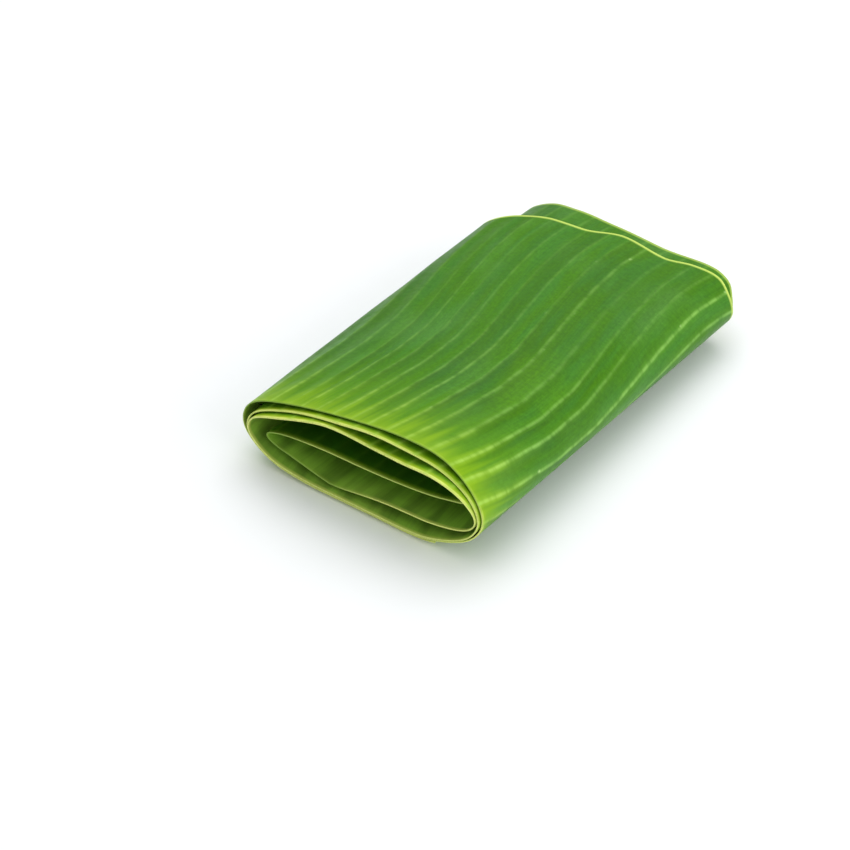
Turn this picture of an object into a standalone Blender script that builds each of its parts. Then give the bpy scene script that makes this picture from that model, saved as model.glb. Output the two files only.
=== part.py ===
"""One banana leaf blade, cut along its midrib and rolled flat into a soft packet.

The roll lies along +Y on the ground. The edge that was cut from the midrib faces -Y, the leaf's own
wavy margin faces +Y, and the veins run from one to the other. Seen from -Y the leaf starts under the
roll, goes left, over the top, down the right side, and so on inward for three turns; the last part
folds sharply back into a flap in the middle.
"""
import bpy
import numpy as np

# Lengths are in millimetres until the mesh is written in metres
MM = 0.001

# Blade
THICKNESS_AT_CUT = 0.8
THICKNESS_AT_MARGIN = 0.65
VEIN_SPACING = 14.0
RIDGE_HEIGHT = 0.25
ROWS = 10

# Length of the roll, and the two outlines its outermost turn is drawn between
CUT_Y = -140.0
MARGIN_Y = 130.0
CUT_OVAL = [(57, 4.5), (30, 0), (-34, 0), (-66, 3.5), (-84, 16), (-87, 30), (-77, 43.5), (-50, 54),
            (-10, 63.5), (30, 69.5), (58, 67.5), (78, 54), (87, 35), (79, 17)]
MARGIN_OVAL = [(57, 3.5), (30, 0), (-25, 0), (-60, 4), (-84, 14), (-92, 28), (-84, 42), (-58, 50),
               (-12, 52), (30, 51), (60, 47.5), (80, 38), (88, 24), (79, 10)]

# Winding: how far each turn lies inside the one around it
TURNS = 3.18
PITCH = 2.0
PITCH_RIGHT = 1.5            # the turns lie closest in the right-hand fold
SECOND_SAG = 3.2
THIRD_SAG = 7.0
LEFT_INSET = 3.5             # the inner turns' left-hand folds lie further in
LEFT_SLACK = 5.5             # and hang free of the outermost turn towards the margin
FLAP_LIFT = 8.5

# Where each of these is, in turns from the outer end; the first three are in every turn
STEPS_IN = (0.42, 1.0)
RIGHT_FOLD = (0.70, 1.0)
LEFT_FOLD = (0.20, 0.60)
SECOND_SAGS = (1.64, 1.86)
THIRD_SAGS = (2.56, 2.85)
FLAP_LIFTS = (2.87, 3.25)

# The last turn's flap, in shares of the roll's half width and of its height above FLAP_BASE
FLAP_BASE = 6.0
FLAP = [(-0.31, 0.055), (-0.46, 0.10), (-0.60, 0.145), (-0.71, 0.18), (-0.785, 0.23), (-0.78, 0.285),
        (-0.70, 0.33), (-0.60, 0.36), (-0.45, 0.385), (-0.25, 0.405), (0.02, 0.415), (0.30, 0.435),
        (0.56, 0.475), (0.76, 0.535), (0.84, 0.565)]
FLAP_FOLD = (1232, 1274)     # where the sharp fold is, measured from the outer end
FLAP_FOLD_COLUMNS = 16
FLAP_CLEARANCE = 10.0        # at the margin the flap stops short of the left-hand folds

# Edges: (distance from the outer end, y)
CUT_EDGE = [(0, -140), (330, -140), (530, -143), (580, -142.5), (628, -144.5), (690, -144), (735, -142),
            (900, -144), (945, -147.5), (985, -146.5), (1020, -147.5), (1052, -150), (1110, -140),
            (1400, -140)]
MARGIN_EDGE = [(0, 124), (60, 125), (110, 113), (160, 99), (200, 111), (222, 117), (245, 118), (272, 127),
               (304, 123), (322, 130), (340, 135), (353, 131), (366, 128.5), (390, 130), (480, 136),
               (530, 139), (575, 145), (600, 140.5), (640, 137), (665, 138.5), (690, 142), (706, 143),
               (718, 141), (729, 133.5), (742, 128), (770, 130), (900, 138), (1100, 129), (1400, 133)]

# The veins' sideways swing on the way to the margin: (y, shift towards the inner end)
VEIN_SWING = [(-160, 0), (-140, 4), (-115, 10), (-90, 14), (-62, 17.5), (-38, 17.5), (-12, 14),
              (14, 9), (40, 4.5), (65, 1.5), (90, 0.5), (108, 2), (128, 5), (150, 9)]
SWING_ENDS = (1020, 1200)    # inside the roll the swing dies out, from one of these distances to the other
VEIN_SPREAD = 8.0            # the veins also fan out on the way to the margin,
SPREAD_ACROSS = (180, 350)   # more and more between these distances from the outer end
SPREAD_ALONG = (-60, 80)     # and between these y

# The underside stands just off the ground but for three flat spots round the roll's weight:
# (distance from the outer end along the cut edge, y)
GROUND_GAP = 0.4
RESTS = [(24.5, -100), (59.5, -100), (52.5, 84)]
REST_SIZE = (10, 32)

# The six round folds, where the blade is divided more finely: distance from the outer end
FOLDS = (154, 352, 536, 728, 908, 1096)
FOLD_REACH = 22

# Parts of the blade that lie open enough for its ridges, between one fold and the next
OPEN_PARTS = [(175, 300), (385, 500), (580, 690), (780, 890), (955, 1060), (1130, 1215)]
FADE_OUTSIDE, FADE_INSIDE = 15, 10

OVAL_STEPS = 800
STATION_POINTS = 2400
SPIRAL_POINTS = 1600
SPLINE_STEPS = 40
TANGENT_REACH = 8
GUIDE_BACK = 60
GRID_ROUNDS = 6
STATIONS = np.linspace(-0.12, 1.14, 13)


def ease(x, low=0.0, high=1.0):
    t = np.clip((x - low)/(high - low), 0, 1)
    return t*t*(3 - 2*t)


def bump(x, low, high):
    return np.sin(np.pi*np.clip((x - low)/(high - low), 0, 1))**2


def through(table, x):
    """A smooth curve through a table's points that swings no further than they do."""
    t = np.array(table, float)
    rise = np.diff(t[:, 1])/np.diff(t[:, 0])
    before, behind = rise[:-1], rise[1:]
    same_way = before*behind > 0
    level = np.where(same_way, 2*before*behind/np.where(same_way, before + behind, 1), 0)
    slope = np.concatenate([rise[:1], level, rise[-1:]])
    k = np.clip(np.searchsorted(t[:, 0], x) - 1, 0, len(t) - 2)
    step = t[k + 1, 0] - t[k, 0]
    r = np.clip((x - t[k, 0])/step, 0, 1)
    start = (1 + 2*r)*(1 - r)**2*t[k, 1] + r*(1 - r)**2*step*slope[k]
    end = r*r*(3 - 2*r)*t[k + 1, 1] - r*r*(1 - r)*step*slope[k + 1]
    return start + end


def spline(points, per, closed=False):
    """Catmull-Rom curve; an open one leaves out its first and last point, which only guide it."""
    p = np.array(points, float)
    if closed:
        p = np.vstack([p[-1:], p, p[:2]])
    t = np.linspace(0, 1, per, endpoint=False)[:, None]
    pieces = []
    for a, b, c, d in zip(p, p[1:], p[2:], p[3:]):
        pieces.append(0.5*(2*b + (c - a)*t + (2*a - 5*b + 4*c - d)*t**2 + (3*b - a - 3*c + d)*t**3))
    return np.vstack(pieces + [p[-2:-1]])


def lengths(p):
    return np.concatenate([[0], np.cumsum(np.linalg.norm(np.diff(p, axis=0), axis=1))])


def resample(p, count):
    along = lengths(p)
    a = np.linspace(0, along[-1], count)
    return np.stack([np.interp(a, along, p[:, 0]), np.interp(a, along, p[:, 1])], 1)


def winding_depth(tau, s):
    """How far the leaf's middle lies inside the outline after tau turns."""
    phase = tau % 1.0
    turn = np.where(tau > 3, 3, np.floor(tau) + ease(phase, *STEPS_IN))
    depth = THICKNESS_AT_CUT/2 + turn*(PITCH - (PITCH - PITCH_RIGHT)*bump(phase, *RIGHT_FOLD))
    depth += SECOND_SAG*bump(tau, *SECOND_SAGS)
    depth += THIRD_SAG*(1 - 0.3*s)*bump(tau, *THIRD_SAGS)
    depth += FLAP_LIFT*(1 - 0.5*s)*bump(tau, *FLAP_LIFTS)
    depth += (LEFT_INSET + LEFT_SLACK*max(s, 0)**1.5)*bump(phase, *LEFT_FOLD)*(tau > 1)
    return depth


def section(s):
    """(x, z) of the leaf's middle, outer end first, at the share s of the roll's length."""
    oval = (1 - s)*spline(CUT_OVAL, SPLINE_STEPS, True) + s*spline(MARGIN_OVAL, SPLINE_STEPS, True)
    oval[:, 1] = np.maximum(oval[:, 1], 0)
    oval = resample(oval, OVAL_STEPS + 1)
    tangent = np.roll(oval[:-1], -TANGENT_REACH, 0) - np.roll(oval[:-1], TANGENT_REACH, 0)
    tangent /= np.linalg.norm(tangent, axis=1)[:, None]
    tangent = np.vstack([tangent, tangent[:1]])

    tau = np.linspace(0, TURNS, SPIRAL_POINTS)
    at = (tau % 1.0)*OVAL_STEPS
    index = np.arange(OVAL_STEPS + 1)
    x, z = (np.interp(at, index, oval[:, c]) for c in (0, 1))
    tx, tz = (np.interp(at, index, tangent[:, c]) for c in (0, 1))
    depth = winding_depth(tau, s)
    spiral = np.stack([x + tz*depth, z - tx*depth], 1)

    top, left, right = oval[:, 1].max(), oval[:, 0].min() + FLAP_CLEARANCE*s, oval[:, 0].max()
    middle_x, half = (left + right)/2, (right - left)/2
    flap = np.array([(middle_x + half*fx, FLAP_BASE + (top - FLAP_BASE)*fz) for fx, fz in FLAP])
    guide = np.vstack([spiral[-GUIDE_BACK], spiral[-1], flap, 2*flap[-1] - flap[-2]])
    return resample(np.vstack([spiral[:-1], spline(guide, SPLINE_STEPS)]), STATION_POINTS)


SECTIONS = np.array([section(s) for s in STATIONS])
BLADE_LENGTH = lengths(section(0.5))[-1]


def middle_surface(u, y):
    """The leaf's middle surface, u from its outer end and y along the roll."""
    s = (y - CUT_Y)/(MARGIN_Y - CUT_Y)
    k = np.clip((s - STATIONS[0])/(STATIONS[1] - STATIONS[0]), 0, len(STATIONS) - 1.001)
    m = np.clip(u/BLADE_LENGTH, 0, 1)*(STATION_POINTS - 1)
    k0 = k.astype(int)
    m0 = np.minimum(m.astype(int), STATION_POINTS - 2)
    k, m = (k - k0)[..., None], (m - m0)[..., None]
    near = (1 - m)*SECTIONS[k0, m0] + m*SECTIONS[k0, m0 + 1]
    far = (1 - m)*SECTIONS[k0 + 1, m0] + m*SECTIONS[k0 + 1, m0 + 1]
    p = (1 - k)*near + k*far
    return np.stack([p[..., 0], y, p[..., 1]], -1)


def normals(u, y):
    across = middle_surface(u + 1.5, y) - middle_surface(u - 1.5, y)
    along = middle_surface(u, y + 2.0) - middle_surface(u, y - 2.0)
    n = np.cross(across, along)
    return n/np.linalg.norm(n, axis=-1)[..., None]


def vein_grid(w, r):
    """u and y where the columns w, which follow the veins, meet the rows r from cut edge to margin."""
    swing = 1 - ease(w, *SWING_ENDS)
    u = w + 0*r
    for _ in range(GRID_ROUNDS):
        cut, margin = through(CUT_EDGE, u), through(MARGIN_EDGE, u)
        y = cut + r*(margin - cut)
        spread = VEIN_SPREAD*ease(w, *SPREAD_ACROSS)*ease(y, *SPREAD_ALONG)
        u = np.clip(w + swing*(through(VEIN_SWING, y) + spread), 0, BLADE_LENGTH)
    return u, y


def column_positions():
    """Two columns to a vein, four in the round folds, and closer still round the flap's sharp one."""
    low, high = FLAP_FOLD
    half = VEIN_SPACING/2
    before = np.linspace(0, low, round(2*low/half) + 1)
    from_fold = np.min([abs(before - fold) for fold in FOLDS], 0)
    before = before[(np.arange(len(before)) % 2 == 0) | (from_fold < FOLD_REACH)]
    fold = np.linspace(low, high, FLAP_FOLD_COLUMNS + 1)
    after = np.linspace(high, BLADE_LENGTH, round((BLADE_LENGTH - high)/half) + 1)
    return np.concatenate([before, fold[1:], after[1:]])


def ridges(w, u):
    """The veins stand up in waves, but not where the leaf is folded or lies on the ground."""
    wave = np.cos(2*np.pi*w/VEIN_SPACING)
    open_share = np.zeros_like(u)
    for start, end in OPEN_PARTS:
        share = ease(u, start - FADE_OUTSIDE, start + FADE_INSIDE)
        share *= 1 - ease(u, end - FADE_INSIDE, end + FADE_OUTSIDE)
        open_share = np.maximum(open_share, share)
    return RIDGE_HEIGHT*wave*open_share


def resting(w, y):
    """Whether a point of the outermost layer is on one of the flat spots."""
    width, length = REST_SIZE
    return np.any([(abs(w - rest_w) < width/2) & (abs(y - rest_y) < length/2) for rest_w, rest_y in RESTS], 0)


def leaf_mesh():
    w, r = np.meshgrid(column_positions(), np.linspace(0, 1, ROWS + 1))
    u, y = vein_grid(w, r)
    rows, columns = u.shape
    n = normals(u, y)
    middle = middle_surface(u, y) + n*ridges(w, u)[..., None]
    thickness = THICKNESS_AT_CUT + (THICKNESS_AT_MARGIN - THICKNESS_AT_CUT)*r
    outer = middle + n*THICKNESS_AT_CUT/2
    outer[..., 2] = np.where(resting(w, y), 0, np.maximum(outer[..., 2], 0) + GROUND_GAP)
    inner = outer - n*thickness[..., None]

    number = np.arange(rows*columns).reshape(rows, columns)
    to_inner = rows*columns
    faces = []
    for i in range(rows - 1):
        for j in range(columns - 1):
            a, b, c, d = number[i, j], number[i, j + 1], number[i + 1, j + 1], number[i + 1, j]
            rising = np.linalg.norm(middle[i + 1, j + 1] - middle[i, j])
            falling = np.linalg.norm(middle[i + 1, j] - middle[i, j + 1])
            split = [(a, b, c), (a, c, d)] if rising < falling else [(a, b, d), (b, c, d)]
            faces += split
            faces += [tuple(v + to_inner for v in reversed(face)) for face in split]
    loop = [*number[0], *number[1:, -1], *number[-1, -2::-1], *number[-2:0:-1, 0]]
    for v, following in zip(loop, loop[1:] + loop[:1]):
        faces.append((v, v + to_inner, following + to_inner, following))

    points = np.vstack([outer.reshape(-1, 3), inner.reshape(-1, 3)])
    centre = (points.min(0) + points.max(0))/2
    points[:, :2] -= centre[:2]
    return points*MM, faces


def leaf_material():
    material = bpy.data.materials.new("banana_leaf")
    material.use_nodes = True
    shader = material.node_tree.nodes["Principled BSDF"]
    shader.inputs["Base Color"].default_value = (0.075, 0.27, 0.02, 1)
    shader.inputs["Roughness"].default_value = 0.42
    shader.inputs["Metallic"].default_value = 0.0
    return material


def main():
    for old in list(bpy.data.objects):
        bpy.data.objects.remove(old, do_unlink=True)
    points, faces = leaf_mesh()
    mesh = bpy.data.meshes.new("banana_leaf")
    mesh.from_pydata(points.tolist(), [], [[int(v) for v in face] for face in faces])
    mesh.update()
    mesh.polygons.foreach_set("use_smooth", [True]*len(mesh.polygons))
    mesh.materials.append(leaf_material())
    leaf = bpy.data.objects.new("banana_leaf", mesh)
    bpy.context.scene.collection.objects.link(leaf)


main()
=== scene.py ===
import math

import bpy
import numpy as np
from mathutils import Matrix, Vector


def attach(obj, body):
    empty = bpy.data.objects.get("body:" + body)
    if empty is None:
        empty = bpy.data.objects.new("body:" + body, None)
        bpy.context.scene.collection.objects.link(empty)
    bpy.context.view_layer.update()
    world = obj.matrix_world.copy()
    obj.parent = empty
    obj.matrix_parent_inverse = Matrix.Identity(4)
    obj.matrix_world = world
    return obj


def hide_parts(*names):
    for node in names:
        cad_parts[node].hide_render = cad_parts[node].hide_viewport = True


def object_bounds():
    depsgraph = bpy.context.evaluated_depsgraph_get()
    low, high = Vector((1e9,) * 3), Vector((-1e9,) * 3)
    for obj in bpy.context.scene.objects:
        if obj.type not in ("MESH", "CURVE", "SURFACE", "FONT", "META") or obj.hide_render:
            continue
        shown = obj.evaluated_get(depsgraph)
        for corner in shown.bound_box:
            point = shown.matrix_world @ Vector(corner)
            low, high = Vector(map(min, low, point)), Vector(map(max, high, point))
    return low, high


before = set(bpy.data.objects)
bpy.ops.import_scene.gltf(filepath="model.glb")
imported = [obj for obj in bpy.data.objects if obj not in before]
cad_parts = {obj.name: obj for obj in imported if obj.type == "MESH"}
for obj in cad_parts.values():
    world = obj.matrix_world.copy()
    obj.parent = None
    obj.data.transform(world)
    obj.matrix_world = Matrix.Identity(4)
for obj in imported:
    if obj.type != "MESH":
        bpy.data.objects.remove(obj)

cad_low, cad_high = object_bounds()

# A rolled banana leaf on white paper: the solid's form, with veins, slow relief and colours added

# Lengths are in millimetres until the mesh is written in metres
MM = 0.001

# The leaf's form, as in the solid: the outlines that the outermost turn is drawn between
CUT_Y = -140.0
MARGIN_Y = 130.0
CUT_OVAL = [(57, 4.5), (30, 0), (-34, 0), (-66, 3.5), (-84, 16), (-87, 30), (-77, 43.5), (-50, 54),
            (-10, 63.5), (30, 69.5), (58, 67.5), (78, 54), (87, 35), (79, 17)]
MARGIN_OVAL = [(57, 3.5), (30, 0), (-25, 0), (-60, 4), (-84, 14), (-92, 28), (-84, 42), (-58, 50),
               (-12, 52), (30, 51), (60, 47.5), (80, 38), (88, 24), (79, 10)]

# Winding: how far each turn lies inside the one around it
HALF_THICKNESS = 0.4
TURNS = 3.18
PITCH = 2.0
PITCH_RIGHT = 1.5            # the turns lie closest in the right-hand fold
SECOND_SAG = 3.2
THIRD_SAG = 7.0
THIRD_SAG_EASES = 0.3        # this share of the sag is gone at the margin
LEFT_INSET = 3.5             # the inner turns' left-hand folds lie further in
LEFT_SLACK = 5.5             # and hang free of the outermost turn towards the margin,
LEFT_SLACK_POWER = 1.5       # with this power of the way there
FLAP_LIFT = 8.5
FLAP_LIFT_EASES = 0.5        # this share of the lift is gone at the margin

# Where each of these is, in turns from the outer end; the first three are in every turn
STEPS_IN = (0.42, 1.0)
RIGHT_FOLD = (0.70, 1.0)
LEFT_FOLD = (0.20, 0.60)
SECOND_SAGS = (1.64, 1.86)
THIRD_SAGS = (2.56, 2.85)
FLAP_LIFTS = (2.87, 3.25)

# The last turn's flap, in shares of the roll's half width and of its height above FLAP_BASE
FLAP_BASE = 6.0
FLAP = [(-0.31, 0.055), (-0.46, 0.10), (-0.60, 0.145), (-0.71, 0.18), (-0.785, 0.23), (-0.78, 0.285),
        (-0.70, 0.33), (-0.60, 0.36), (-0.45, 0.385), (-0.25, 0.405), (0.02, 0.415), (0.30, 0.435),
        (0.56, 0.475), (0.76, 0.535), (0.84, 0.565)]
FLAP_CLEARANCE = 10.0        # at the margin the flap stops short of the left-hand folds

# Edges: (distance from the outer end, y)
CUT_EDGE = [(0, -140), (330, -140), (530, -143), (580, -142.5), (628, -144.5), (690, -144), (735, -142),
            (900, -144), (945, -147.5), (985, -146.5), (1020, -147.5), (1052, -150), (1110, -140),
            (1400, -140)]
MARGIN_EDGE = [(0, 124), (60, 125), (110, 113), (160, 99), (200, 111), (222, 117), (245, 118), (272, 127),
               (304, 123), (322, 130), (340, 135), (353, 131), (366, 128.5), (390, 130), (480, 136),
               (530, 139), (575, 145), (600, 140.5), (640, 137), (665, 138.5), (690, 142), (706, 143),
               (718, 141), (729, 133.5), (742, 128), (770, 130), (900, 138), (1100, 129), (1400, 133)]

# The veins' sideways swing on the way to the margin: (y, shift towards the inner end)
VEIN_SWING = [(-160, 0), (-140, 4), (-115, 10), (-90, 14), (-62, 17.5), (-38, 17.5), (-12, 14),
              (14, 9), (40, 4.5), (65, 1.5), (90, 0.5), (108, 2), (128, 5), (150, 9)]
SWING_ENDS = (1020, 1200)    # inside the roll the swing dies out, from one of these distances to the other
VEIN_SPREAD = 8.0            # the veins also fan out on the way to the margin,
SPREAD_ACROSS = (180, 350)   # more and more between these distances from the outer end
SPREAD_ALONG = (-60, 80)     # and between these y
GROUND_GAP = 0.4             # the underside clears the ground by this much

# How finely the form is worked out
OVAL_STEPS = 800
STATION_POINTS = 2400
SPIRAL_POINTS = 1600
SPLINE_STEPS = 40
TANGENT_REACH = 8
GUIDE_BACK = 60
GRID_ROUNDS = 6
STATIONS = np.linspace(-0.12, 1.14, 43)
NORMAL_REACH = (1.5, 2.0)    # a normal is taken over this much of the blade, across and along

# Veins: one every 14 mm or so, those of the top layer by name: (distance from the outer end, how
# strongly it shows at the cut edge, the same at the margin)
VEIN_SPACING = 14.0
VEIN_JITTER = 1.2
VEIN_SEED = 4
TOP_VEINS = [(183, 0.45, 0.2), (197, 0.25, 0.12), (207, 0.45, 0.2), (218, 0.3, 0.12), (230, 0.5, 0.2),
             (243, 0.4, 0.12), (255, 0.55, 0.2), (268, 0.4, 0.12), (281, 0.45, 0.35), (297, 0.45, 0.12),
             (311, 0.8, 0.2), (322, 0.95, 0.22), (337, 0.85, 0.9), (349, 0.5, 0.7)]
HIDDEN_VEINS = (0.3, 0.55)   # the least and the greatest strength of the other veins at the cut edge
HIDDEN_AT_MARGIN = 0.5       # and the share of it that they keep at the margin
STRENGTH_TURNS = (0.15, 0.65)    # shares of the way to the margin between which the strength changes

# The grid's columns: (from this distance on, columns to a vein)
COLUMNS_TO_A_VEIN = [(0, 4), (126, 20), (400, 5), (1225, 10), (1275, 5)]
LEAST_COLUMN = 0.1           # in vein spacings; a column this near the inner end is left out
# The grid's rows: how far they lie from either edge at the usual width, and how many lie between those
ROWS_BY_EDGE = [0, 0.8, 1.7, 2.8, 4.2, 6.0, 8.5]
OPEN_ROWS = 46
USUAL_WIDTH = 265.0

# Relief: a crest on each vein, pleats between the veins, and slow waves
CREST_HEIGHT = 0.16
CREST_WIDTH = 0.9
LEAST_CREST = 0.35           # added to the vein's strength
FOLDED_CREST = 0.2           # the share of a crest that stays in the folds
PLEAT_HEIGHT = 0.26
WAVE_HEIGHT = 0.16
WAVES_ACROSS = (17, 31)      # each wave's length and that of its bend, over 2 pi
WAVES_ALONG = (23, 41)
WAVES_SLANTING = 12.5

# Near its edges the blade lies smooth: relief fades out over these reaches
SMOOTH_AT_CUT = 26.0
SMOOTH_AT_MARGIN = 9.0
RELIEF_STARTS = (110, 175)   # the layer that lies on the ground has none

# Parts of the blade that lie open, between one fold and the next: (from, to, how much relief each has)
OPEN_PARTS = [(175, 330, 1.0), (385, 500, 0.4), (580, 690, 0.5), (780, 890, 0.4), (955, 1060, 0.5),
              (1130, 1215, 0.3)]
FADE_OUTSIDE, FADE_INSIDE = 20, 15   # relief fades this far beyond each part's ends, and this far within

# Blade thickness: a swollen lip along the cut edge, thin at the margin
THICKNESS_AT_CUT = 0.8
THICKNESS_AT_MARGIN = 0.62
LIP_SWELL = 0.35
LIP_REACH = 5.0
FOLDED_LIP = 0.4             # the share of the swelling that stays in the folds
RIM_BULGE = 0.2

# How strongly the cut edge shows its pale lip: (distance from the outer end, share)
LIP_STRENGTH = [(0, 0.7), (130, 0.6), (165, 0.1), (330, 0.1), (365, 0.6), (540, 0.9), (600, 0.9),
                (700, 0.45), (900, 0.7), (950, 1.0), (1060, 0.9), (1120, 0.7), (1160, 0.6), (1200, 0.15),
                (1250, 0.1), (1290, 0.35), (1400, 0.3)]
TOP_ENDS = (345, 370)        # past the top layer the cut edge is less bright, painted shade of the layer above
FLAP_SHADE_STARTS = (1225, 1275)   # the last turn's flap has painted shade, the deepest green, inside the roll

# The blade's map, to paint or bake on: both faces in even strips one above the other, then the rims
MAP_STRIPS = 3
MAP_HEIGHT = 275.0
MAP_GAP = 5.0
RIM_WIDTH = 5.0

# Material slots
UPPER, UNDER, CUT_RIM, MARGIN_RIM = range(4)

# Colours, as display values of 0 to 255
BODY_WARM, BODY_COOL = (68, 124, 6), (64, 124, 30)
DRIFT_BLUISH, DRIFT_YELLOWISH = (82, 136, 52), (82, 138, 0)
# The flap's deep green is painted shade for the dark inside of the roll
FLAP_SHADE_GREEN = (26, 70, 12)
NEAR_MIDRIB, AT_MIDRIB = (108, 162, 0), (136, 178, 16)
LIP_BAND, LIP_LINE = (168, 196, 34), (228, 238, 122)
GLOW, GLOW_NEAR_CUT = (100, 160, 44), (150, 194, 50)
VEIN, VEIN_NEAR_CUT = (146, 198, 92), (176, 214, 92)
MARGIN_LINE = (200, 224, 104)
NICK = (190, 226, 140)
UNDER_DULL, UNDER_BRIGHT = (136, 180, 60), (154, 194, 70)
UNDER_VEIN, UNDER_LIP, UNDER_MARGIN = (140, 176, 76), (206, 216, 104), (184, 206, 92)
CUT_GREEN, CUT_PALE, CUT_FIBRES = (116, 160, 48), (230, 240, 132), (150, 172, 60)
MARGIN_PALE, MARGIN_FIBRES = (202, 222, 112), (150, 176, 60)

# How far from the cut edge each of its colours begins, and how far from it the colour is full
MIDRIB_REACH = (72, 0)
MIDRIB_INNER_REACH = (26, -6)
FINGER_LENGTH = 10           # the yellow-green reaches this much further in some strips, less far in others
LIP_BAND_REACH = (4.4, 1.4)
LIP_LINE_REACH = (1.9, 0.7)
VEINS_TURN_YELLOW = (60, 8)
UNDER_LIP_REACH = (2.4, 0.8)

# The same from the margin
MARGIN_LINE_REACH = (2.8, 0.9)
UNDER_MARGIN_REACH = (1.5, 0.7)

# Half widths of the veins' colours
GLOW_WIDTH = 4.5
VEIN_WIDTH = 1.9
NICK_WIDTH = 2.0
UNDER_VEIN_WIDTH = 1.4
VEIN_SWAY = 0.045            # in vein spacings

# The grain of colours drawn out along the veins: features to a vein spacing, across and along
DRIFTS = (0.22, 0.13)
STRIPS = (1.4, 0.22)
FINGERS = (3.0, 0.2)
VEINLETS = (13.0, 0.3)
UNDER_DRIFTS = (0.25, 0.15)
# Painted shadow on the under face: the grain of its dark patches
UNDER_SHADOW_PATCHES = (0.9, 0.22)
RIM_DRIFTS = (0.6, 1.0)
RIM_FIBRES = (22.0, 1.0)

# Gloss
WAX_ROUGHNESS = (0.36, 0.48)
BUMP_HEIGHT = 0.0004         # in metres
BLADE_IOR = 1.4

# A colour mix node's inputs and output
SHARE, ONE, OTHER = 0, 6, 7
MIXED = 2

# Studio: the sky's strength at the horizon and high up, where straight overhead is a height of 1
SKY_HEIGHTS = (0.0, 0.9)
SKY_STRENGTHS = (0.16, 0.92)
SKY_TINT = (0.95, 0.98, 1.0, 1)

# Soft boxes: (name, place, size, power)
LAMPS = [("softbox_top", (-0.4, 0.5, 1.8), 2.0, 17),
         ("softbox_back", (1.6, 1.3, 0.7), 0.7, 3),
         ("softbox_right", (1.8, -0.1, 0.7), 1.4, 13)]
LAMPS_AIM_AT = (0, 0, 0.03)

# A paper floor
FLOOR_HALF = 4.0
PAPER, PAPER_LIGHT = (0.95, 0.95, 0.955, 1), (0.97, 0.97, 0.975, 1)

# Camera: the photograph's view, from the right and above with a short telephoto lens
AZIMUTH, ELEVATION = math.radians(37), math.radians(38)
DISTANCE = 1.2042
AIM = (-0.01408, -0.06005, 0.006)
LENS = 85
SENSOR = 36


def ease(x, low=0.0, high=1.0):
    t = np.clip((x - low)/(high - low), 0, 1)
    return t*t*(3 - 2*t)


def bump(x, low, high):
    return np.sin(np.pi*np.clip((x - low)/(high - low), 0, 1))**2


def through(table, x):
    """A smooth curve through a table's points that swings no further than they do."""
    t = np.array(table, float)
    rise = np.diff(t[:, 1])/np.diff(t[:, 0])
    before, behind = rise[:-1], rise[1:]
    same_way = before*behind > 0
    level = np.where(same_way, 2*before*behind/np.where(same_way, before + behind, 1), 0)
    slope = np.concatenate([rise[:1], level, rise[-1:]])
    k = np.clip(np.searchsorted(t[:, 0], x) - 1, 0, len(t) - 2)
    step = t[k + 1, 0] - t[k, 0]
    r = np.clip((x - t[k, 0])/step, 0, 1)
    start = (1 + 2*r)*(1 - r)**2*t[k, 1] + r*(1 - r)**2*step*slope[k]
    end = r*r*(3 - 2*r)*t[k + 1, 1] - r*r*(1 - r)*step*slope[k + 1]
    return start + end


def spline(points, per, closed=False):
    """Catmull-Rom curve; an open one leaves out its first and last point, which only guide it."""
    p = np.array(points, float)
    if closed:
        p = np.vstack([p[-1:], p, p[:2]])
    t = np.linspace(0, 1, per, endpoint=False)[:, None]
    pieces = []
    for a, b, c, d in zip(p, p[1:], p[2:], p[3:]):
        pieces.append(0.5*(2*b + (c - a)*t + (2*a - 5*b + 4*c - d)*t**2 + (3*b - a - 3*c + d)*t**3))
    return np.vstack(pieces + [p[-2:-1]])


def lengths(p):
    return np.concatenate([[0], np.cumsum(np.linalg.norm(np.diff(p, axis=0), axis=1))])


def resample(p, count):
    along = lengths(p)
    a = np.linspace(0, along[-1], count)
    return np.stack([np.interp(a, along, p[:, 0]), np.interp(a, along, p[:, 1])], 1)


def winding_depth(tau, s):
    """How far the leaf's middle lies inside the outline after tau turns."""
    phase = tau % 1.0
    whole = math.floor(TURNS)
    turn = np.where(tau > whole, whole, np.floor(tau) + ease(phase, *STEPS_IN))
    depth = HALF_THICKNESS + turn*(PITCH - (PITCH - PITCH_RIGHT)*bump(phase, *RIGHT_FOLD))
    depth += SECOND_SAG*bump(tau, *SECOND_SAGS)
    depth += THIRD_SAG*(1 - THIRD_SAG_EASES*s)*bump(tau, *THIRD_SAGS)
    depth += FLAP_LIFT*(1 - FLAP_LIFT_EASES*s)*bump(tau, *FLAP_LIFTS)
    depth += (LEFT_INSET + LEFT_SLACK*max(s, 0)**LEFT_SLACK_POWER)*bump(phase, *LEFT_FOLD)*(tau > 1)
    return depth


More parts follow.
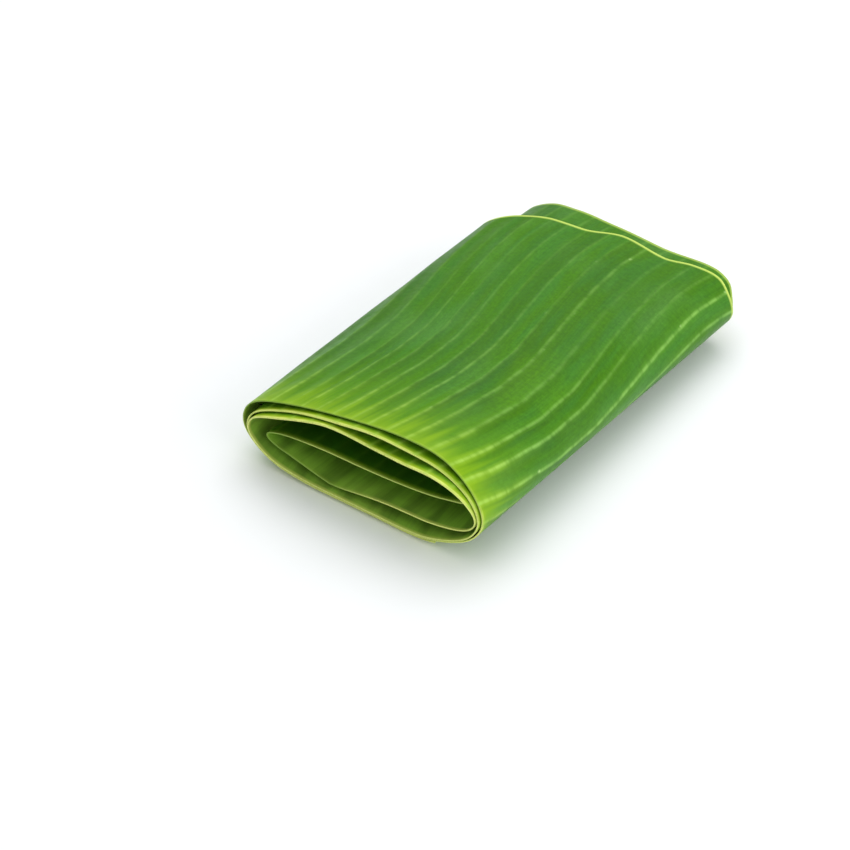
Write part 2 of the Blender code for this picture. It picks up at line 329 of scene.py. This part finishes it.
def section(s):
    """(x, z) of the leaf's middle, outer end first, at the share s of the roll's length."""
    oval = (1 - s)*spline(CUT_OVAL, SPLINE_STEPS, True) + s*spline(MARGIN_OVAL, SPLINE_STEPS, True)
    oval[:, 1] = np.maximum(oval[:, 1], 0)
    oval = resample(oval, OVAL_STEPS + 1)
    tangent = np.roll(oval[:-1], -TANGENT_REACH, 0) - np.roll(oval[:-1], TANGENT_REACH, 0)
    tangent /= np.linalg.norm(tangent, axis=1)[:, None]
    tangent = np.vstack([tangent, tangent[:1]])

    tau = np.linspace(0, TURNS, SPIRAL_POINTS)
    at = (tau % 1.0)*OVAL_STEPS
    index = np.arange(OVAL_STEPS + 1)
    x, z = (np.interp(at, index, oval[:, c]) for c in (0, 1))
    tx, tz = (np.interp(at, index, tangent[:, c]) for c in (0, 1))
    depth = winding_depth(tau, s)
    spiral = np.stack([x + tz*depth, z - tx*depth], 1)

    top, left, right = oval[:, 1].max(), oval[:, 0].min() + FLAP_CLEARANCE*s, oval[:, 0].max()
    middle_x, half = (left + right)/2, (right - left)/2
    flap = np.array([(middle_x + half*fx, FLAP_BASE + (top - FLAP_BASE)*fz) for fx, fz in FLAP])
    guide = np.vstack([spiral[-GUIDE_BACK], spiral[-1], flap, 2*flap[-1] - flap[-2]])
    return resample(np.vstack([spiral[:-1], spline(guide, SPLINE_STEPS)]), STATION_POINTS)


SECTIONS = np.array([section(s) for s in STATIONS])
BLADE_LENGTH = lengths(section(0.5))[-1]


def middle_surface(u, y):
    """The leaf's middle surface, u from its outer end and y along the roll."""
    s = (y - CUT_Y)/(MARGIN_Y - CUT_Y)
    k = np.clip((s - STATIONS[0])/(STATIONS[1] - STATIONS[0]), 0, len(STATIONS) - 1.001)
    m = np.clip(u/BLADE_LENGTH, 0, 1)*(STATION_POINTS - 1)
    k0 = k.astype(int)
    m0 = np.minimum(m.astype(int), STATION_POINTS - 2)
    k, m = (k - k0)[..., None], (m - m0)[..., None]
    near = (1 - m)*SECTIONS[k0, m0] + m*SECTIONS[k0, m0 + 1]
    far = (1 - m)*SECTIONS[k0 + 1, m0] + m*SECTIONS[k0 + 1, m0 + 1]
    p = (1 - k)*near + k*far
    return np.stack([p[..., 0], y, p[..., 1]], -1)


def normals(u, y):
    du, dy = NORMAL_REACH
    across = middle_surface(u + du, y) - middle_surface(u - du, y)
    along = middle_surface(u, y + dy) - middle_surface(u, y - dy)
    n = np.cross(across, along)
    return n/np.linalg.norm(n, axis=-1)[..., None]


def vein_grid(w, r):
    """Where the columns w, which follow the veins, meet the rows r: u, y, and how far off both edges are."""
    swing = 1 - ease(w, *SWING_ENDS)
    u = w + 0*r
    for _ in range(GRID_ROUNDS):
        cut, margin = through(CUT_EDGE, u), through(MARGIN_EDGE, u)
        y = cut + r*(margin - cut)
        spread = VEIN_SPREAD*ease(w, *SPREAD_ACROSS)*ease(y, *SPREAD_ALONG)
        u = np.clip(w + swing*(through(VEIN_SWING, y) + spread), 0, BLADE_LENGTH)
    return u, y, y - cut, margin - y


def veins():
    """Each vein's distance from the outer end, and how strongly it shows at the cut edge and the margin."""
    rng = np.random.default_rng(VEIN_SEED)
    before = np.arange(0, TOP_VEINS[0][0] - VEIN_SPACING/2, VEIN_SPACING)
    after = np.arange(TOP_VEINS[-1][0] + VEIN_SPACING, BLADE_LENGTH + VEIN_SPACING, VEIN_SPACING)

    def hidden(place):
        strength = rng.uniform(*HIDDEN_VEINS, len(place))
        jitter = rng.uniform(-VEIN_JITTER, VEIN_JITTER, len(place))
        return np.stack([np.where(place > 0, place + jitter, 0), strength, HIDDEN_AT_MARGIN*strength], 1)

    return np.vstack([hidden(before), TOP_VEINS, hidden(after)]).T


def columns(place):
    """Column positions as vein numbers: crowded on the top layer, closer together at the sharp fold."""
    numbered = np.arange(len(place))
    starts, to_a_vein = zip(*COLUMNS_TO_A_VEIN)
    found = []
    for start, end, count in zip(starts, [*starts[1:], BLADE_LENGTH], to_a_vein):
        a, b = np.round(np.interp([start, end], place, numbered))
        found.append(np.linspace(a, b, round((b - a)*count) + 1)[:-1])
    last = np.interp(BLADE_LENGTH, place, numbered)
    numbers = np.concatenate(found)
    return np.append(numbers[numbers < last - LEAST_COLUMN], last)


def rows():
    """Row positions from cut edge to margin, closer together near both."""
    near = np.array(ROWS_BY_EDGE)/USUAL_WIDTH
    middle = np.linspace(near[-1], 1 - near[-1], OPEN_ROWS)
    return np.concatenate([near[:-1], middle, 1 - near[-2::-1]])


def open_share(u):
    """How freely each place of the blade can take relief."""
    total = np.zeros_like(u)
    for start, end, most in OPEN_PARTS:
        share = ease(u, start - FADE_OUTSIDE, start + FADE_INSIDE)
        share *= 1 - ease(u, end - FADE_INSIDE, end + FADE_OUTSIDE)
        total = np.maximum(total, most*share)
    return total


def soft_waves(u, y):
    """Slow unevenness of the lying blade, a few centimetres from crest to crest."""
    across = np.sin(u/WAVES_ACROSS[0] + 0.9*np.sin(y/WAVES_ACROSS[1]))
    along = np.sin(y/WAVES_ALONG[0] + 1.3*np.sin(u/WAVES_ALONG[1]))
    slanting = np.sin((u + y)/WAVES_SLANTING + 2.0)
    return 0.5*across + 0.5*along + 0.35*slanting


def relief(u, y, number_of_vein, strength, is_open):
    """How far the outer face stands over the plain blade, before it is smoothed towards the edges."""
    off_vein = (number_of_vein - np.round(number_of_vein))*VEIN_SPACING
    crest = CREST_HEIGHT*(LEAST_CREST + strength)*np.exp(-(off_vein/CREST_WIDTH)**2)
    height = crest*(FOLDED_CREST + (1 - FOLDED_CREST)*is_open)
    height += PLEAT_HEIGHT*np.cos(2*np.pi*number_of_vein)*is_open
    height += WAVE_HEIGHT*soft_waves(u, y)*is_open
    return height


def outward(n):
    """Which way the blade's edge faces, for the grid points along it."""
    away = np.zeros(n.shape)
    away[0, :, 1] = -1
    away[-1, :, 1] = 1
    away[:, 0] -= np.cross((0, 1, 0), n[:, 0])
    away[:, -1] += np.cross((0, 1, 0), n[:, -1])
    return away


def face_triangles(number, p):
    """Triangles between numbered grid points p, each square split along its shorter diagonal."""
    a, b, c, d = number[:-1, :-1], number[:-1, 1:], number[1:, 1:], number[1:, :-1]
    rising = np.linalg.norm(p[1:, 1:] - p[:-1, :-1], axis=-1)
    falling = np.linalg.norm(p[1:, :-1] - p[:-1, 1:], axis=-1)
    split_rising = (rising < falling)[..., None]
    first = np.where(split_rising, np.stack([a, b, c], -1), np.stack([a, b, d], -1))
    second = np.where(split_rising, np.stack([a, c, d], -1), np.stack([b, c, d], -1))
    return np.concatenate([first.reshape(-1, 3), second.reshape(-1, 3)])


def in_strips(along, across, width, height, base):
    """Lays faces, given by their corners' places, in strips of an even width one above the other."""
    strip = np.floor(along.mean(1, keepdims=True)/width)
    x = MAP_GAP + along - strip*width
    y = base + MAP_GAP + strip*(height + MAP_GAP) + across
    return np.stack([x, y], -1).reshape(-1, 2)


def flat_map(w, r, face, loop):
    """Map corners for the outer face, the inner face and the two halves of the rim."""
    w, r = w.ravel(), r.ravel()
    width = 2*(BLADE_LENGTH + MAP_GAP)/MAP_STRIPS
    outer = in_strips(w[face], r[face]*MAP_HEIGHT, width, MAP_HEIGHT, 0)
    back = face[:, ::-1]
    inner = in_strips(w[back] + BLADE_LENGTH + 2*MAP_GAP, r[back]*MAP_HEIGHT, width, MAP_HEIGHT, 0)

    way = np.stack([w, r*MAP_HEIGHT], 1)[np.append(loop, loop[0])]
    here, there = lengths(way)[:-1], lengths(way)[1:]
    along = np.stack([here, here, there, there], 1)
    base = MAP_STRIPS*(MAP_HEIGHT + MAP_GAP)
    to_rim = np.array([0, RIM_WIDTH, RIM_WIDTH, 0]) + 0*along
    from_rim = np.array([RIM_WIDTH, 2*RIM_WIDTH, 2*RIM_WIDTH, RIM_WIDTH]) + 0*along
    rims = [in_strips(along, across, width, 2*RIM_WIDTH, base) for across in (to_rim, from_rim)]
    corners = np.vstack([outer, inner, *rims])
    return corners/(corners.max() + MAP_GAP)


def blade():
    """The grid's coordinates, its outer and inner face, and the values that the materials use."""
    place, at_cut, at_margin = veins()
    number_of_vein, r = np.meshgrid(columns(place), rows())
    w, strength, far_strength = (np.interp(number_of_vein, np.arange(len(place)), v)
                                 for v in (place, at_cut, at_margin))
    strength += (far_strength - strength)*ease(r, *STRENGTH_TURNS)
    u, y, from_cut, from_margin = vein_grid(w, r)
    lip = np.interp(u, *np.array(LIP_STRENGTH).T)
    n = normals(u, y)

    is_open = open_share(u)
    height = relief(u, y, number_of_vein, strength, is_open)
    height *= ease(u, *RELIEF_STARTS)*ease(from_cut, 0, SMOOTH_AT_CUT)*ease(from_margin, 0, SMOOTH_AT_MARGIN)
    outer = middle_surface(u, y) + n*(HALF_THICKNESS + height)[..., None]
    outer[..., 2] = np.maximum(outer[..., 2], 0) + GROUND_GAP

    thickness = THICKNESS_AT_CUT + (THICKNESS_AT_MARGIN - THICKNESS_AT_CUT)*r
    swell = LIP_SWELL*lip*(FOLDED_LIP + (1 - FOLDED_LIP)*is_open)
    thickness += swell*np.exp(-(from_cut/LIP_REACH)**2)
    inner = outer - n*thickness[..., None]
    rim = (outer + inner)/2 + RIM_BULGE*outward(n)

    pattern = np.stack([number_of_vein, y/VEIN_SPACING], -1)
    values = {"vein_strength": strength, "from_cut": from_cut, "from_margin": from_margin, "lip": lip,
              "along": u}
    return w, r, outer, inner, rim, pattern, values


def closed_faces(number, outer):
    """The loop of grid points round the blade, and the faces of both sides and the rim with their slots."""
    loop = np.concatenate([number[0], number[1:, -1], number[-1, -2::-1], number[-2:0:-1, 0]])
    face = face_triangles(number, outer)
    ring = 2*number.size + np.arange(len(loop))
    after = np.roll(np.arange(len(loop)), -1)
    to_rim = np.stack([loop, ring, ring[after], loop[after]], -1)
    from_rim = np.stack([ring, loop + number.size, loop[after] + number.size, ring[after]], -1)
    faces = face.tolist() + (face[:, ::-1] + number.size).tolist() + to_rim.tolist() + from_rim.tolist()
    on_margin = (loop >= number[-1, 0]) & (loop[after] >= number[-1, 0])
    rim_slot = np.where(on_margin, MARGIN_RIM, CUT_RIM)
    slots = np.concatenate([np.full(len(face), UPPER), np.full(len(face), UNDER), rim_slot, rim_slot])
    return loop, face, faces, slots


def leaf_piece():
    """The leaf as one closed mesh, and how far it was shifted to stand where the solid does."""
    w, r, outer, inner, rim, pattern, values = blade()
    loop, face, faces, slots = closed_faces(np.arange(w.size).reshape(w.shape), outer)

    def to_points(grid):
        """A value for each vertex: those of the outer face, of the inner face, then of the rim's loop."""
        flat = grid.reshape(w.size, -1)
        return np.vstack([flat, flat, flat[loop]]).astype(np.float32)

    points = np.vstack([outer.reshape(-1, 3), inner.reshape(-1, 3), rim.reshape(-1, 3)[loop]])
    mesh = bpy.data.meshes.new("banana_leaf_blade")
    shift = Vector((cad_low + cad_high)/2) - Vector((points.min(0) + points.max(0))/2)*MM
    shift.z = 0
    mesh.from_pydata((points*MM + np.array(shift)).tolist(), [], faces)
    mesh.update()
    mesh.polygons.foreach_set("use_smooth", [True]*len(mesh.polygons))
    mesh.polygons.foreach_set("material_index", slots)
    for name, grid in values.items():
        mesh.attributes.new(name, "FLOAT", "POINT").data.foreach_set("value", to_points(grid).ravel())

    corner = np.empty(len(mesh.loops), np.int32)
    mesh.loops.foreach_get("vertex_index", corner)
    mesh.uv_layers.new(name="leaf").uv.foreach_set("vector", to_points(pattern)[corner].ravel())
    mesh.uv_layers.new(name="OFBake").uv.foreach_set("vector", flat_map(w, r, face, loop).ravel())
    leaf = bpy.data.objects.new("banana_leaf_blade", mesh)
    bpy.context.scene.collection.objects.link(leaf)
    return leaf, shift


def colour(display):
    """Scene-linear colour from display values of 0 to 255."""
    shares = [v/255 for v in display]
    return [v/12.92 if v <= 0.04045 else ((v + 0.055)/1.055)**2.4 for v in shares] + [1.0]


class Graph:
    """A material's node graph, built by short calls that return sockets."""

    def __init__(self, name):
        self.material = bpy.data.materials.new(name)
        self.material.use_nodes = True
        self.tree = self.material.node_tree
        self.shader = self.tree.nodes["Principled BSDF"]

    def node(self, kind, inputs=(), **settings):
        made = self.tree.nodes.new(kind)
        for key, value in settings.items():
            setattr(made, key, value)
        for key, value in dict(inputs).items():
            if isinstance(value, bpy.types.NodeSocket):
                self.tree.links.new(value, made.inputs[key])
            else:
                made.inputs[key].default_value = value
        return made

    def math(self, operation, *values, clamp=False):
        made = self.node("ShaderNodeMath", enumerate(values), operation=operation, use_clamp=clamp)
        return made.outputs[0]

    def times(self, first, *others):
        """The product of two or more values."""
        product = first
        for other in others:
            product = self.math("MULTIPLY", product, other)
        return product

    def point(self, x, y, z=0.0):
        return self.node("ShaderNodeCombineXYZ", {"X": x, "Y": y, "Z": z}).outputs[0]

    def noise(self, vector, scale, detail=2.0, roughness=0.5):
        made = self.node("ShaderNodeTexNoise", {"Vector": vector, "Scale": scale, "Detail": detail,
                                                "Roughness": roughness})
        return made.outputs["Fac"]

    def remap(self, value, low, high, to_low=0.0, to_high=1.0, smooth=True):
        made = self.node("ShaderNodeMapRange", {"Value": value, "From Min": low, "From Max": high,
                                                "To Min": to_low, "To Max": to_high},
                         interpolation_type="SMOOTHSTEP" if smooth else "LINEAR")
        return made.outputs["Result"]

    def blend(self, share, one, other, kind="MIX"):
        made = self.node("ShaderNodeMix", {SHARE: share, ONE: one, OTHER: other}, data_type="RGBA",
                         blend_type=kind)
        return made.outputs[MIXED]

    def grey(self, value):
        return self.node("ShaderNodeCombineColor", {0: value, 1: value, 2: value}).outputs[0]

    def shaded(self, base, tone):
        """The colour made lighter or darker by the factor tone."""
        return self.blend(1.0, base, self.grey(tone), "MULTIPLY")

    def bumps(self, height, strength):
        made = self.node("ShaderNodeBump", {"Height": height, "Strength": strength, "Distance": BUMP_HEIGHT})
        return made.outputs[0]

    def surface(self, **values):
        for key, value in values.items():
            socket = self.shader.inputs[key.replace("_", " ")]
            if isinstance(value, bpy.types.NodeSocket):
                self.tree.links.new(value, socket)
            else:
                socket.default_value = value
        return self.material


class LeafGraph(Graph):
    """A graph with the leaf's coordinates: vein number across, and vein spacings along."""

    def __init__(self, name):
        super().__init__(name)
        leaf_map = self.node("ShaderNodeUVMap", uv_map="leaf")
        split = self.node("ShaderNodeSeparateXYZ", {0: leaf_map.outputs[0]})
        self.across, self.along = split.outputs["X"], split.outputs["Y"]

    def attribute(self, name):
        return self.node("ShaderNodeAttribute", attribute_name=name).outputs["Fac"]

    def streaks(self, grain, detail=2.0, roughness=0.5):
        """Noise drawn out along the veins."""
        grain_across, grain_along = grain
        stretched = self.point(self.times(self.across, grain_across), self.times(self.along, grain_along))
        return self.noise(stretched, 1.0, detail, roughness)

    def veinlets(self):
        """Veinlets, about a millimetre apart, that run beside the veins."""
        return self.streaks(VEINLETS, 2.0, 0.65)

    def vein_lines(self, width):
        """Up to 1 on a vein and 0 off it, swaying a little and broken up on the way."""
        nearest = self.math("ROUND", self.across)
        slow = self.noise(self.point(nearest, self.times(self.along, 0.8)), 1.0, 1.0)
        sway = self.remap(slow, 0, 1, -VEIN_SWAY, VEIN_SWAY, smooth=False)
        aside = self.math("SUBTRACT", self.math("ADD", self.across, sway), nearest)
        off = self.times(self.math("ABSOLUTE", aside), VEIN_SPACING)
        gaps = self.noise(self.point(nearest, self.times(self.along, 1.3)), 1.0, 3.0, 0.65)
        line = self.times(self.remap(off, width, 0.0), self.remap(gaps, 0.34, 0.62, 0.3, 1.0))
        return self.math("MULTIPLY", line, self.attribute("vein_strength"), clamp=True)


def blade_green(g, streak, from_cut):
    """Deep green with slow drifts, a fine mottle, a shade of its own in each strip between two veins, and
    painted shade across each strip.
    """
    drift = g.streaks(DRIFTS, 3.0, 0.55)
    body = g.blend(g.remap(streak, 0.38, 0.66), colour(BODY_WARM), colour(BODY_COOL))
    body = g.blend(g.times(g.remap(drift, 0.5, 0.68), 0.6), body, colour(DRIFT_BLUISH))
    body = g.blend(g.times(g.remap(drift, 0.46, 0.32), 0.6), body, colour(DRIFT_YELLOWISH))
    mottle = g.remap(g.noise(g.point(g.across, g.along), 5.0, 4.0, 0.75), 0.3, 0.7, 0.86, 1.13)

    # Painted shade: a strip is darkest beside one of its veins, as if that side of its pleat lay in shade,
    # most so near the cut edge
    strip = g.node("ShaderNodeTexWhiteNoise", {"W": g.math("FLOOR", g.across)}, noise_dimensions="1D")
    shade = g.remap(strip.outputs["Value"], 0, 1, 0.90, 1.08, smooth=False)
    beside = g.remap(g.math("FRACT", g.across), 0.0, 0.75, 0.74, 1.08)
    slope = g.blend(g.remap(from_cut, 210, 30), (1, 1, 1, 1), g.grey(beside))
    veinlets = g.remap(g.veinlets(), 0.3, 0.7, 0.92, 1.07)
    return g.shaded(g.blend(1.0, body, slope, "MULTIPLY"), g.times(shade, veinlets, mottle))


def upper_face():
    g = LeafGraph("leaf_upper_face")
    from_cut, from_margin, lip = (g.attribute(n) for n in ("from_cut", "from_margin", "lip"))
    place = g.point(g.across, g.along)
    streak = g.streaks(STRIPS)
    body = blade_green(g, streak, from_cut)

    # Painted shade inside the roll: the flap is a deep green, and shows little else
    flap = g.remap(g.attribute("along"), *FLAP_SHADE_STARTS)
    body = g.blend(g.times(flap, 0.8), body, colour(FLAP_SHADE_GREEN))
    clear_of_flap_shade = g.math("SUBTRACT", 1.0, g.times(flap, 0.9))

    # Towards the midrib the blade is yellow-green, in strips and fingers of uneven length; under the top
    # layer it is weaker, painted shade of the layer above
    clear_of_top_shadow = g.math("SUBTRACT", 1.0, g.remap(g.attribute("along"), *TOP_ENDS, 0.0, 0.65))
    strips = g.times(g.remap(streak, 0.36, 0.62, 0.74, 1.0), clear_of_flap_shade, clear_of_top_shadow)
    fingers = g.remap(g.streaks(FINGERS, 1.5), 0.3, 0.7, FINGER_LENGTH, -FINGER_LENGTH, smooth=False)
    reach = g.math("ADD", from_cut, fingers)
    warm = g.times(g.remap(reach, *MIDRIB_REACH), strips)
    body = g.blend(g.times(warm, 0.6), body, colour(NEAR_MIDRIB))
    body = g.blend(g.times(g.remap(reach, *MIDRIB_INNER_REACH), strips), body, colour(AT_MIDRIB))

    # Right at the cut most layers have a pale yellow lip
    shown = g.times(lip, g.remap(streak, 0.3, 0.6, 0.7, 1.0))
    body = g.blend(g.times(g.remap(from_cut, *LIP_BAND_REACH), shown), body, colour(LIP_BAND))
    body = g.blend(g.times(g.remap(from_cut, *LIP_LINE_REACH), shown), body, colour(LIP_LINE))

    # Veins: a soft glow and a paler core, both yellower near the cut
    near_cut = g.remap(from_cut, *VEINS_TURN_YELLOW)
    glow = g.times(g.vein_lines(GLOW_WIDTH), clear_of_flap_shade, g.remap(near_cut, 0, 1, 0.5, 0.9))
    body = g.blend(glow, body, g.blend(near_cut, colour(GLOW), colour(GLOW_NEAR_CUT)))
    core = g.times(g.vein_lines(VEIN_WIDTH), clear_of_flap_shade)
    body = g.blend(g.times(core, 0.78), body, g.blend(near_cut, colour(VEIN), colour(VEIN_NEAR_CUT)))

    # The natural margin is a thin pale line, clearest on the top layer
    clear = g.remap(g.attribute("along"), *TOP_ENDS, 1.0, 0.6)
    body = g.blend(g.times(g.remap(from_margin, *MARGIN_LINE_REACH), clear), body, colour(MARGIN_LINE))

    # A few small pale nicks along the veins
    cell = g.node("ShaderNodeTexVoronoi", {"Vector": place, "Scale": 0.8}, voronoi_dimensions="2D")
    chosen = g.node("ShaderNodeSeparateColor", {0: cell.outputs["Color"]}).outputs[0]
    nick = g.times(g.remap(cell.outputs["Distance"], 0.10, 0.03), g.math("GREATER_THAN", chosen, 0.8))
    on_vein = g.math("MULTIPLY", nick, g.vein_lines(NICK_WIDTH), clamp=True)
    body = g.blend(on_vein, body, colour(NICK))

    wax = g.noise(place, 2.2, 4.0, 0.6)
    height = g.math("ADD", g.times(g.veinlets(), 0.6), g.times(wax, 0.4))
    return g.surface(Base_Color=body, Roughness=g.remap(wax, 0.3, 0.7, *WAX_ROUGHNESS),
                     Normal=g.bumps(height, 0.12), IOR=BLADE_IOR, Specular_IOR_Level=0.22)


def under_face():
    g = LeafGraph("leaf_under_face")
    from_cut, from_margin, lip = (g.attribute(n) for n in ("from_cut", "from_margin", "lip"))
    body = g.blend(g.remap(g.streaks(UNDER_DRIFTS, 3.0), 0.4, 0.62), colour(UNDER_DULL), colour(UNDER_BRIGHT))
    # Painted shadow: soft dark patches drawn out along the veins
    shadow_patches = g.remap(g.streaks(UNDER_SHADOW_PATCHES), 0.36, 0.62, 0.62, 1.08)
    body = g.shaded(body, g.times(shadow_patches, g.remap(g.veinlets(), 0.3, 0.7, 0.92, 1.07)))
    body = g.blend(g.times(g.vein_lines(UNDER_VEIN_WIDTH), 0.3), body, colour(UNDER_VEIN))
    body = g.blend(g.times(g.remap(from_cut, *UNDER_LIP_REACH), lip), body, colour(UNDER_LIP))
    body = g.blend(g.remap(from_margin, *UNDER_MARGIN_REACH), body, colour(UNDER_MARGIN))
    return g.surface(Base_Color=body, Roughness=0.6, Normal=g.bumps(g.veinlets(), 0.15), IOR=BLADE_IOR,
                     Specular_IOR_Level=0.25)


def edge(name, green, pale, fibre_colour, roughness):
    """A rim of the blade: tissue as pale as its lip is, with darker fibre ends."""
    g = LeafGraph(name)
    fibres = g.streaks(RIM_FIBRES, 2.0, 0.6)
    share = g.times(g.remap(fibres, 0.42, 0.66), g.remap(g.streaks(RIM_DRIFTS), 0.3, 0.7, 0.1, 0.5))
    tissue = g.blend(g.remap(g.attribute("lip"), 0.0, 0.6), colour(green), colour(pale))
    return g.surface(Base_Color=g.blend(share, tissue, colour(fibre_colour)), Roughness=roughness,
                     IOR=BLADE_IOR)


def floor():
    mesh = bpy.data.meshes.new("floor")
    half = FLOOR_HALF
    mesh.from_pydata([(-half, -half, 0), (half, -half, 0), (half, half, 0), (-half, half, 0)], [],
                     [(0, 1, 2, 3)])
    g = Graph("floor_paper")
    grain = g.noise(g.node("ShaderNodeNewGeometry").outputs["Position"], 40.0, 3.0)
    mesh.materials.append(g.surface(Base_Color=g.blend(grain, PAPER, PAPER_LIGHT), Roughness=0.9, IOR=1.2))
    made = bpy.data.objects.new("floor", mesh)
    bpy.context.scene.collection.objects.link(made)


def sky():
    """A soft sky that is brightest overhead."""
    world = bpy.data.worlds.new("studio")
    world.use_nodes = True
    tree = world.node_tree
    towards = tree.nodes.new("ShaderNodeTexCoord")
    split = tree.nodes.new("ShaderNodeSeparateXYZ")
    ramp = tree.nodes.new("ShaderNodeMapRange")
    for socket, value in zip(("From Min", "From Max", "To Min", "To Max"), SKY_HEIGHTS + SKY_STRENGTHS):
        ramp.inputs[socket].default_value = value
    tree.links.new(towards.outputs["Generated"], split.inputs[0])
    tree.links.new(split.outputs["Z"], ramp.inputs["Value"])
    background = tree.nodes["Background"]
    background.inputs["Color"].default_value = SKY_TINT
    tree.links.new(ramp.outputs["Result"], background.inputs["Strength"])
    bpy.context.scene.world = world


def lamps():
    for name, place, size, power in LAMPS:
        light = bpy.data.lights.new(name, "AREA")
        light.size = size
        light.energy = power
        lamp = bpy.data.objects.new(name, light)
        lamp.location = place
        lamp.rotation_euler = (Vector(LAMPS_AIM_AT) - Vector(place)).to_track_quat("-Z", "Y").to_euler()
        bpy.context.scene.collection.objects.link(lamp)


def camera(shift):
    target = Vector(AIM) + shift
    back = Vector((math.sin(AZIMUTH)*math.cos(ELEVATION), -math.cos(AZIMUTH)*math.cos(ELEVATION),
                   math.sin(ELEVATION)))
    lens = bpy.data.cameras.new("camera")
    lens.lens = LENS
    lens.sensor_width = SENSOR
    viewer = bpy.data.objects.new("camera", lens)
    viewer.location = target + back*DISTANCE
    viewer.rotation_euler = (-back).to_track_quat("-Z", "Y").to_euler()
    bpy.context.scene.collection.objects.link(viewer)
    bpy.context.scene.camera = viewer


leaf, shift = leaf_piece()
leaf.data.materials.append(upper_face())
leaf.data.materials.append(under_face())
leaf.data.materials.append(edge("leaf_cut_edge", CUT_GREEN, CUT_PALE, CUT_FIBRES, 0.6))
leaf.data.materials.append(edge("leaf_margin_edge", MARGIN_PALE, MARGIN_PALE, MARGIN_FIBRES, 0.5))
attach(leaf, "root")
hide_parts("banana_leaf")

floor()
sky()
lamps()
camera(shift)
bpy.context.scene.view_settings.view_transform = "Standard"
